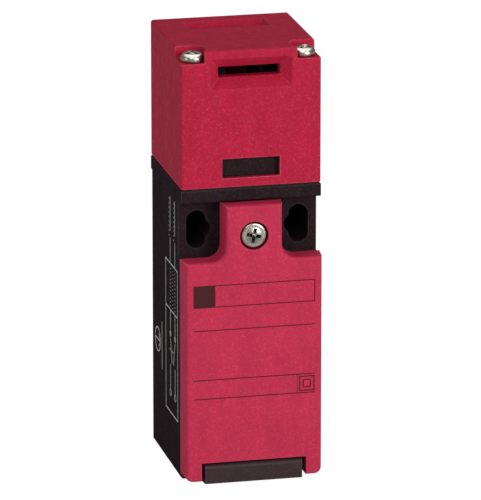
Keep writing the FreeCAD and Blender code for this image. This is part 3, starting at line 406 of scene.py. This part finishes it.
def lathe(form, profile, steps, place):
    """Turns a profile of radius and height into a closed solid; place maps it to the frame."""
    rings = []
    for radius, height in profile:
        if radius < 1e-9:
            rings.append([form.verts.new(place @ Vector((0, 0, height)))])
            continue
        rings.append([form.verts.new(place @ Vector((radius * math.cos(2 * math.pi * n / steps),
                                                     radius * math.sin(2 * math.pi * n / steps),
                                                     height))) for n in range(steps)])
    for low, high in zip(rings, rings[1:]):
        for n in range(steps):
            after = (n + 1) % steps
            if len(low) == 1:
                corners = (low[0], high[after], high[n])
            elif len(high) == 1:
                corners = (low[n], low[after], high[0])
            else:
                corners = (low[n], low[after], high[after], high[n])
            face = form.faces.new(corners)
            face.smooth = True


def applied(blank):
    """Gives the mesh that an object's modifiers make of it, and removes the object."""
    bpy.context.view_layer.update()
    graph = bpy.context.evaluated_depsgraph_get()
    mesh = bpy.data.meshes.new_from_object(blank.evaluated_get(graph))
    bpy.data.objects.remove(blank)
    return mesh


def carved(mesh, cutter_mesh):
    """Cuts one mesh out of another and gives the result as a new mesh."""
    collection = bpy.context.scene.collection
    blank = bpy.data.objects.new("blank", mesh)
    cutter = bpy.data.objects.new("cutter", cutter_mesh)
    collection.objects.link(blank)
    collection.objects.link(cutter)
    boolean = blank.modifiers.new("carve", "BOOLEAN")
    boolean.object = cutter
    boolean.operation = "DIFFERENCE"
    boolean.solver = "EXACT"
    boolean.use_self = True
    result = applied(blank)
    bpy.data.objects.remove(cutter)
    return result


def smooth_by_angle(mesh, limit):
    """Marks the edges sharper than a limit in degrees, so that the rest shades smoothly."""
    form = bmesh.new()
    form.from_mesh(mesh)
    for edge in form.edges:
        edge.smooth = not (edge.is_manifold and edge.calc_face_angle(0) > math.radians(limit))
    for face in form.faces:
        face.smooth = True
    form.to_mesh(mesh)
    form.free()


# Rounding of a flat front.

def inset_at(radius, depth):
    """How far a rounded edge stands back from the side at a depth behind the front."""
    if depth >= radius:
        return 0.0
    return radius - math.sqrt(max(0.0, radius ** 2 - (radius - depth) ** 2))


def is_side(face):
    """Tells whether a face runs along Y, as the sides behind the front do."""
    return abs(face.normal.y) < 0.5


def rounding_depths(radii, steps=4):
    """Gives the depths at which quarter circles of some radii get their rows of points."""
    depths = set()
    for radius in radii:
        for step in range(1, steps + 1):
            depths.add(radius * (1 - math.cos(math.pi / 2 * step / steps)))
    return sorted(depths)


def sides_at(vert, depth, radius_of):
    """Gives the side directions that meet at a point, each with its inset there."""
    same_side, same_facet = math.radians(22), 0.01
    groups = []
    for face in vert.link_faces:
        if not is_side(face):
            continue
        normal = Vector((face.normal.x, 0, face.normal.z)).normalized()
        for group in groups:
            if group[0].angle(normal) < same_side:
                if all(normal.angle(known) > same_facet for known in group[2]):
                    group[2].append(normal)
                    group[0] = sum(group[2], Vector()).normalized()
                break
        else:
            groups.append([normal, inset_at(radius_of(face), depth), [normal]])
    return [(normal, inset) for normal, inset, _ in groups]


def rounded_front(form, front, radius_of):
    """Rounds the edges of a flat front that faces -Y, by the radius of each side face."""
    depths = rounding_depths({radius_of(face) for face in form.faces if is_side(face)})
    for depth in depths:
        divide(form, (0, front + depth, 0), (0, 1, 0))
    moves = []
    for vert in form.verts:
        depth = vert.co.y - front
        if depth > depths[-1] + 1e-7:
            continue
        sides = sides_at(vert, depth, radius_of)
        if len(sides) == 1:
            normal, inset = sides[0]
            moves.append((vert, normal * -inset))
        elif len(sides) == 2:
            (a, inset_a), (b, inset_b) = sides
            spread = a.x * b.z - a.z * b.x
            moves.append((vert, Vector(((-inset_a * b.z + inset_b * a.z) / spread, 0,
                                        (-inset_b * a.x + inset_a * b.x) / spread))))
    for vert, move in moves:
        vert.co += move
    bmesh.ops.remove_doubles(form, verts=[vert for vert, _ in moves],
                           dist=MERGE_AFTER_ROUNDING)


# Shells.

def paint_foot_highlight(mesh):
    """Gives the boss at the casing's foot its own lighter material, a painted highlight."""
    mesh.materials.append(MATERIALS["foot_black_highlit"])
    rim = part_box("cover")[1].y
    for face in mesh.polygons:
        if face.center.y < rim - FOOT_INSET and face.center.z < FOOT_TOP:
            face.material_index = 1


def head_mesh():
    """The head with a small moulded rounding along all its sharp edges."""
    form = clean_form("head_housing")
    weights = form.edges.layers.float.new("bevel_weight_edge")
    for edge in form.edges:
        if edge.is_manifold and edge.calc_face_angle(0) > HEAD_SHARP:
            edge[weights] = 1.0
    blank = bpy.data.objects.new("blank", mesh_of(form, "head_shell"))
    bpy.context.scene.collection.objects.link(blank)
    rounding = blank.modifiers.new("rounding", "BEVEL")
    rounding.limit_method = "WEIGHT"
    rounding.offset_type = "OFFSET"
    rounding.width = HEAD_ROUNDING
    rounding.segments = 3
    rounding.use_clamp_overlap = False
    return applied(blank)


def casing_mesh():
    """The casing with a shadow groove under the head and a seam where its boss starts."""
    form = copied_form("body_casing")
    low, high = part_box("head_housing")
    groove_floor = low.z - GROOVE_HEIGHT
    divide(form, (0, 0, groove_floor), (0, 0, 1))
    divide(form, (0, 0, groove_floor + GROOVE_STEP), (0, 0, 1))
    divide(form, (0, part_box("cover")[1].y - GROOVE_STEP, 0), (0, 1, 0))
    for vert in form.verts:
        if groove_floor + GROOVE_STEP / 2 < vert.co.z < low.z + GROOVE_STEP:
            for axis in (0, 1):
                side = high[axis] if vert.co[axis] > 0 else low[axis]
                if abs(vert.co[axis] - side) < SIDE_REACH:
                    vert.co[axis] -= math.copysign(GROOVE_DEPTH, side)
    return mesh_of(form, "casing_shell")


def cover_mesh():
    """The cover with a wide rounding along its outline and a small one round its openings."""
    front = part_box("cover")[0][1]
    low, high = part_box("cover_screw")
    screw = (low + high) / 2

    def radius_of(face):
        middle = face.calc_center_median()
        at_screw = math.hypot(middle.x - screw.x, middle.z - screw.z) < SCREW_HOLE_REACH
        at_notch = abs(middle.x) < NOTCH_HALF_WIDTH and middle.z < NOTCH_TOP
        return OPENING_ROUNDING if at_screw or at_notch else COVER_ROUNDING

    form = clean_form("cover")
    rounded_front(form, front, radius_of)
    return mesh_of(form, "cover_shell")


def make_shells():
    """Head, casing and cover with rounded edges in place of the plain CAD shells."""
    for node, body, slot, mesh in (
            ("head_housing", "housing", "red_plastic", head_mesh()),
            ("body_casing", "housing", "black_plastic", casing_mesh()),
            ("cover", "cover_set", "red_plastic", cover_mesh())):
        smooth_by_angle(mesh, SHELL_SMOOTH)
        piece = finish_piece(f"{node}_shell", mesh, NODE_MATERIALS[node], body)
        if node == "body_casing":
            paint_foot_highlight(mesh)
        normals = piece.modifiers.new("normals", "WEIGHTED_NORMAL")
        normals.keep_sharp = True
        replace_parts(piece, node)


# Screws.

def pan_profile(radius, height, flat, edge, lean, steps=10, crown_steps=5):
    """Gives the profile of a domed screw head with a flatter crown.

    The rim stands up to the share edge of the height. The dome meets it at the angle lean and
    ends at the share flat of the radius, where the crown starts.
    """
    rim, foot_radius, foot_rise = height * edge, radius * 0.985, height * 0.03
    points = [(0, 0), (foot_radius, 0), (radius, foot_rise), (radius, rim)]
    for n in range(1, steps + 1):
        angle = lean + (math.pi / 2 - lean) * n / steps
        out = math.cos(angle) / math.cos(lean)
        rise = (math.sin(angle) - math.sin(lean)) / (1 - math.sin(lean))
        points.append((radius * (flat + (1 - flat) * out),
                       rim + (height - rim) * DOME_SHARE * rise))
    crown_foot, crown_rise = height * DOME_SHARE, (height + rim) * CROWN_SHARE
    for n in range(1, crown_steps + 1):
        share = n / crown_steps
        points.append((radius * flat * (1 - share),
                       crown_foot + crown_rise * (1 - (1 - share) ** 2)))
    return points


def recess_cutter(reach, width, depth, crown, place):
    """Makes a tapered cross with the four shallow marks of such a recess between its wings."""
    top, mark_half_width, mark_depth = crown + 0.2 * MM, 0.05 * MM, 0.14 * depth
    top_scale, foot_scale = 1.06, 0.46
    form = bmesh.new()
    for turn in (0, math.pi / 2):
        rows = []
        for height, scale in ((top, top_scale), (crown - depth, foot_scale)):
            half_long, half_wide = reach / 2 * scale, width / 2 * (0.62 + 0.38 * scale)
            row = []
            for across, up in ((-1, -1), (1, -1), (1, 1), (-1, 1)):
                corner = Vector((across * half_long, up * half_wide, height))
                row.append(form.verts.new(place @ (Matrix.Rotation(turn, 3, "Z") @ corner)))
            rows.append(row)
        skin(form, rows[::-1])
    for number in range(4):
        turn = Matrix.Rotation(math.pi / 4 + math.pi / 2 * number, 3, "Z")
        rows = []
        for height in (top, crown - mark_depth):
            corners = [Vector((along * reach, across * mark_half_width, height))
                       for along, across in ((0.16, -1), (0.44, -1), (0.44, 1), (0.16, 1))]
            rows.append([form.verts.new(place @ (turn @ corner)) for corner in corners])
        skin(form, rows[::-1])
    bmesh.ops.recalc_face_normals(form, faces=form.faces)
    return mesh_of(form, "recess_cutter")


def thread_profile(form, radius, pitch, depth, low, high, place, steps=40, rows_per_turn=10):
    """Makes a screw's shank whose radius follows the thread, closed at both ends."""
    rows = max(4, int((high - low) / pitch * rows_per_turn))
    rings = []
    for row in range(rows + 1):
        height = low + (high - low) * row / rows
        fade = min(1.0, (height - low) / pitch, (high - height) / pitch)
        ring = []
        for n in range(steps):
            turn = n / steps
            phase = (height / pitch - turn) % 1.0
            ridge = 1 - abs(2 * phase - 1)
            out = radius - depth * (1 - ridge) * fade
            angle = 2 * math.pi * turn
            ring.append(form.verts.new(place @ Vector((out * math.cos(angle),
                                                       out * math.sin(angle), height))))
        rings.append(ring)
    skin(form, rings, smooth=True)


def screw_mesh(head_radius, head_height, head_form, recess, shank_radius, length, pitch,
               place):
    """Makes one cross-recess screw, its seat at height 0 and its shank below."""
    profile = pan_profile(head_radius, head_height, **head_form)
    form = bmesh.new()
    lathe(form, profile, HEAD_STEPS, place)
    bmesh.ops.recalc_face_normals(form, faces=form.faces)
    crown, reach = profile[-1][1], head_radius * recess
    cutter = recess_cutter(reach, reach * RECESS_WIDTH_SHARE,
                           head_height * RECESS_DEPTH_SHARE, crown, place)
    head = carved(mesh_of(form, "screw_head"), cutter)
    form = bmesh.new()
    form.from_mesh(head)
    thread_profile(form, shank_radius, pitch, pitch * THREAD_DEPTH_SHARE, -length,
                   -0.02 * MM, place)
    mesh = mesh_of(form, "screw")
    smooth_by_angle(mesh, SCREW_SMOOTH)
    return mesh


def make_head_screws():
    """The two head screws, turned to different angles, as one piece."""
    low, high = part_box("head_screws")
    seat, middle = high[2] - SCREW_HEAD_HEIGHT, (low[1] + high[1]) / 2
    together = bmesh.new()
    for across, turn in ((low[0] + HEAD_SCREW_RADIUS, 0.55), (high[0] - HEAD_SCREW_RADIUS, 1.05)):
        place = Matrix.Translation((across, middle, seat)) @ Matrix.Rotation(turn, 4, "Z")
        together.from_mesh(screw_mesh(
            HEAD_SCREW_RADIUS, SCREW_HEAD_HEIGHT * 1.02,
            head_form={"flat": 0.62, "edge": 0.46, "lean": 0.25},
            recess=1.5, shank_radius=HEAD_SCREW_SHANK, length=seat - low[2],
            pitch=HEAD_SCREW_PITCH, place=place))
    mesh = mesh_of(together, "head_screw_pair")
    smooth_by_angle(mesh, SCREW_SMOOTH)
    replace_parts(finish_piece("head_screw_pair", mesh, "zinc", "housing"),
                "head_screws")


def make_cover_screw():
    """The captive screw in the cover's neck."""
    low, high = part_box("cover_screw")
    seat = low[1] + SCREW_HEAD_HEIGHT
    place = (Matrix.Translation(((low[0] + high[0]) / 2, seat, (low[2] + high[2]) / 2))
             @ Matrix.Rotation(math.pi / 2, 4, "X") @ Matrix.Rotation(1.36, 4, "Z"))
    mesh = screw_mesh(
        (high[0] - low[0]) / 2, SCREW_HEAD_HEIGHT * 0.95,
        head_form={"flat": 0.78, "edge": 0.70, "lean": 0},
        recess=1.24, shank_radius=COVER_SCREW_SHANK, length=high[1] - seat,
        pitch=COVER_SCREW_PITCH, place=place)
    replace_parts(finish_piece("captive_screw", mesh, "zinc", "cover_set"),
                "cover_screw")


# Printing.

class Print:
    """Thin raised ink strokes on a flat face, drawn in the face's own two directions.

    Places and widths in the face are millimetres along its own directions.
    """

    def __init__(self, origin, across, up, out, width):
        self.form = bmesh.new()
        self.origin, self.across, self.up, self.out = origin, across, up, out
        self.width = width

    def point(self, u, v, lift):
        return self.origin + self.across * u * MM + self.up * v * MM + self.out * lift

    def patch(self, corners):
        """Adds a closed slab over corners, sunk a little into the face."""
        skin(self.form, [[self.form.verts.new(self.point(u, v, lift)) for u, v in corners]
                         for lift in (-INK_SINK, INK_RISE)])

    def block(self, u0, v0, u1, v1):
        self.patch([(u0, v0), (u1, v0), (u1, v1), (u0, v1)])

    def line(self, u0, v0, u1, v1, width=None):
        """Adds a straight stroke."""
        half = (width or self.width) / 2
        length = math.hypot(u1 - u0, v1 - v0)
        du, dv = (u1 - u0) / length * half, (v1 - v0) / length * half
        self.patch([(u0 - du + dv, v0 - dv - du), (u1 + du + dv, v1 + dv - du),
                    (u1 + du - dv, v1 + dv + du), (u0 - du - dv, v0 - dv + du)])

    def frame(self, u0, v0, u1, v1, width=None):
        """Adds a rectangle of strokes that meet at its corners."""
        half = (width or self.width) / 2
        self.block(u0 - half, v0 - half, u0 + half, v1 + half)
        self.block(u1 - half, v0 - half, u1 + half, v1 + half)
        self.block(u0 + half, v0 - half, u1 - half, v0 + half)
        self.block(u0 + half, v1 - half, u1 - half, v1 + half)

    def ring(self, u, v, radius, width=None, steps=36):
        """Adds a circle."""
        half = (width or self.width) / 2
        inner, outer = radius - half, radius + half
        for n in range(steps):
            a, b = 2 * math.pi * n / steps, 2 * math.pi * (n + 1) / steps
            self.patch([(u + reach * math.cos(angle), v + reach * math.sin(angle))
                        for reach, angle in ((inner, a), (outer, a), (outer, b), (inner, b))])

    def dots(self, u, v0, v1, gaps, size):
        """Adds an upright line of square dots with some gaps between them."""
        for n in range(gaps + 1):
            v = v0 + (v1 - v0) * n / gaps
            self.block(u - size / 2, v - size / 2, u + size / 2, v + size / 2)

    def piece(self, name, material, body, slot):
        bmesh.ops.recalc_face_normals(self.form, faces=self.form.faces)
        finish_piece(name, mesh_of(self.form, name), material, body)


def make_cover_print():
    """Frame with its filled field, three rules and the double square on the cover."""
    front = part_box("cover")[0][1]
    face = (Vector((0, front, 0)), Vector((1, 0, 0)), Vector((0, 0, 1)), Vector((0, -1, 0)))
    half_width, stroke = 13.0, 0.22
    frame_foot, frame_top, field_width = 39.05, 43.7, 4.6
    rule_heights = (33.96, 23.1, 18.96)
    square_u, square_v, square_half = 11.35, 21.0, 1.55
    lines = Print(*face, stroke)
    lines.frame(-half_width, frame_foot, half_width, frame_top)
    for height in rule_heights:
        lines.line(-half_width, height, half_width, height)
    for half in (square_half, square_half * 0.5):
        lines.frame(square_u - half, square_v - half, square_u + half, square_v + half, 0.26)
    divider = square_u - square_half - 0.5
    lines.line(divider, square_v - 2.0, divider, square_v + 2.0, 0.12)
    lines.piece("cover_print_lines", "line_ink", "cover_set", "red_plastic")
    field = Print(*face, stroke)
    field.block(-half_width + stroke / 2, frame_foot + stroke / 2,
                -half_width + field_width, frame_top - stroke / 2)
    field.piece("cover_print_field", "dark_ink", "cover_set", "red_plastic")


def make_side_print():
    """Plain contact diagram and the sign of direct opening, in white on the casing's left."""
    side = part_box("body_casing")[0][0] + COLLAR_STEP
    chart = Print(Vector((side, 0, 0)), Vector((0, 1, 0)), Vector((0, 0, 1)),
                  Vector((-1, 0, 0)), 0.28)
    near, far, foot, top, divider = -10.6, 1.0, 12.0, 45.0, 34.8
    leads, lead_gap, lead_top = (-8.1, -3.6), (50.5, 52.2), 59.6
    row_foot, row_top, row_gaps, lead_gaps = 35.6, 43.8, 10, 8
    chart.frame(near, foot, far, top)
    chart.line(near, divider, far, divider)
    for lead in leads:
        chart.line(lead, top, lead, lead_gap[0])
        chart.line(lead, lead_gap[1], lead, lead_top)
        chart.dots(lead + 0.9, 51.0, 59.0, lead_gaps, 0.3)
        chart.dots(lead, row_foot, row_top, row_gaps, 0.32)
    chart.dots(sum(leads) / 2, row_foot, row_top, row_gaps, 0.26)

    hinge, blade_end, blade_lean, lower_lead = 28.6, 23.4, 1.5, (22.6, 17.2)
    for lead, lean in zip(leads, (1, -1)):
        chart.line(lead, divider, lead, hinge)
        chart.line(lead, hinge, lead + lean * blade_lean, blade_end)
        chart.line(lead, lower_lead[0], lead, lower_lead[1])
        chart.ring(lead, hinge + 0.8, 0.6, 0.22)
        chart.ring(lead, lower_lead[1] - 0.8, 0.7, 0.22)
    link_height, link_dash = 25.9, 0.5
    for step in range(4):
        start = leads[0] + 1.7 + step
        chart.line(start, link_height, start + link_dash, link_height, 0.24)

    sign_u, sign_v, sign_radius, barb = 9.1, 24.5, 2.6, (1.5, 1.3)
    chart.line(4.9, 19.0, 4.9, 29.4)
    chart.ring(sign_u, sign_v, sign_radius)
    tip = sign_u - sign_radius
    chart.line(tip, sign_v, sign_u + sign_radius, sign_v)
    for lean in (-1, 1):
        chart.line(tip, sign_v, tip + barb[0], sign_v + lean * barb[1])
    chart.piece("side_print", "white_ink", "housing", "black_plastic")


def make_entry_thread():
    """Thread ridge inside the cable entry."""
    pitch, bore, rise, root = 1.5 * MM, 7.25 * MM, 0.42 * MM, 0.15 * MM
    low, high, steps = 0.5 * MM, 10.4 * MM, 56
    foot, crest = 0.42, 0.08
    form = bmesh.new()
    count = int((high - low - pitch) / pitch * steps)
    rings = []
    for n in range(count + 1):
        angle = 2 * math.pi * n / steps
        height = low + pitch / 2 + pitch * n / steps
        fade = min(1.0, n / steps * 2, (count - n) / steps * 2)
        ring = []
        for inward, along in ((-root, -foot), (rise * fade, -crest), (rise * fade, crest),
                              (-root, foot)):
            radius = bore - inward
            ring.append(form.verts.new((radius * math.cos(angle), radius * math.sin(angle),
                                        height + along * pitch)))
        rings.append(ring)
    skin(form, rings)
    bmesh.ops.recalc_face_normals(form, faces=form.faces)
    finish_piece("entry_thread", mesh_of(form, "entry_thread"), "casing_black", "housing")


# Stage.

def make_floor():
    """White floor that keeps a soft shadow and shows darker in glossy surfaces."""
    glow_strength, glow_share = 1.10, 0.86
    bpy.ops.mesh.primitive_plane_add(size=12, location=(0, 0, -0.2 * MM))
    floor = bpy.context.object
    floor.name = "floor"
    material = bpy.data.materials.new("floor_white")
    material.use_nodes = True
    nodes, links = material.node_tree.nodes, material.node_tree.links
    shader = nodes["Principled BSDF"]
    shader.inputs["Roughness"].default_value = 0.9
    glow = nodes.new("ShaderNodeEmission")
    glow.inputs["Strength"].default_value = glow_strength
    path = nodes.new("ShaderNodeLightPath")
    paint = nodes.new("ShaderNodeMix")
    paint.data_type = "RGBA"
    paint.inputs[6].default_value = (*FLOOR_WHITE, 1)
    paint.inputs[7].default_value = (*FLOOR_IN_GLOSS, 1)
    links.new(path.outputs["Is Glossy Ray"], paint.inputs[0])
    links.new(paint.outputs[2], shader.inputs["Base Color"])
    seen = nodes.new("ShaderNodeMath")
    seen.operation = "MULTIPLY"
    seen.inputs[1].default_value = glow_share
    links.new(path.outputs["Is Camera Ray"], seen.inputs[0])
    blend = nodes.new("ShaderNodeMixShader")
    links.new(seen.outputs[0], blend.inputs[0])
    links.new(shader.outputs[0], blend.inputs[1])
    links.new(glow.outputs[0], blend.inputs[2])
    links.new(blend.outputs[0], nodes["Material Output"].inputs["Surface"])
    floor.data.materials.append(material)


def make_surroundings():
    """White to the camera, dim to diffuse light, and brighter overhead to glossy surfaces."""
    to_camera, to_diffuse = 1.0, 0.47
    world = bpy.data.worlds.new("surroundings")
    bpy.context.scene.world = world
    world.use_nodes = True
    nodes, links = world.node_tree.nodes, world.node_tree.links
    background = nodes["Background"]
    background.inputs["Color"].default_value = (1, 1, 1, 1)
    path = nodes.new("ShaderNodeLightPath")
    facing = nodes.new("ShaderNodeSeparateXYZ")
    links.new(nodes.new("ShaderNodeTexCoord").outputs["Generated"], facing.inputs[0])
    overhead = nodes.new("ShaderNodeMapRange")
    for key, number in (("From Min", 0.55), ("From Max", 0.80), ("To Min", 0.12),
                        ("To Max", 1.4)):
        overhead.inputs[key].default_value = number
    links.new(facing.outputs["Z"], overhead.inputs["Value"])
    glossy = nodes.new("ShaderNodeMapRange")
    glossy.inputs["To Min"].default_value = to_diffuse
    links.new(path.outputs["Is Glossy Ray"], glossy.inputs["Value"])
    links.new(overhead.outputs[0], glossy.inputs["To Max"])
    strength = nodes.new("ShaderNodeMapRange")
    strength.inputs["To Max"].default_value = to_camera
    links.new(path.outputs["Is Camera Ray"], strength.inputs["Value"])
    links.new(glossy.outputs[0], strength.inputs["To Min"])
    links.new(strength.outputs[0], background.inputs["Strength"])


def make_lamps():
    """A key lamp from the right, a weak fill from the left and a weak lamp from above."""
    for name, place, power, width, tone in (
            ("key", (0.50, -0.95, 0.32), 5.8, 0.50, (1, 0.99, 0.98)),
            ("fill", (-0.95, -0.35, 0.22), 0.75, 0.40, (1, 0.98, 0.98)),
            ("strip", (-0.25, -0.70, 0.55), 0.8, 0.35, (0.98, 0.99, 1))):
        lamp = bpy.data.lights.new(name, "AREA")
        lamp.energy = power
        lamp.size = width
        lamp.color = tone
        item = bpy.data.objects.new(name, lamp)
        item.location = place
        item.rotation_euler = (LAMP_TARGET - Vector(place)).to_track_quat("-Z", "Y").to_euler()
        bpy.context.scene.collection.objects.link(item)


def make_camera():
    """The camera, at the photograph's angle."""
    camera = bpy.data.cameras.new("camera")
    camera.lens = LENS
    camera.sensor_width = SENSOR_WIDTH
    camera.clip_start = 0.01
    camera.clip_end = 20
    item = bpy.data.objects.new("camera", camera)
    item.location = CAMERA_PLACE
    item.rotation_euler = (math.pi / 2 - CAMERA_DIP, 0, CAMERA_TURN)
    bpy.context.scene.collection.objects.link(item)
    bpy.context.scene.camera = item


def dress_nodes():
    """Gives every CAD node its material."""
    for node, material in NODE_MATERIALS.items():
        slots = NODES[node].data.materials
        slots.clear()
        slots.append(MATERIALS[material])


bpy.context.scene.view_settings.view_transform = "Standard"
dress_nodes()
make_shells()
make_head_screws()
make_cover_screw()
make_cover_print()
make_side_print()
make_entry_thread()
make_floor()
make_surroundings()
make_lamps()
make_camera()

bpy.context.view_layer.update()
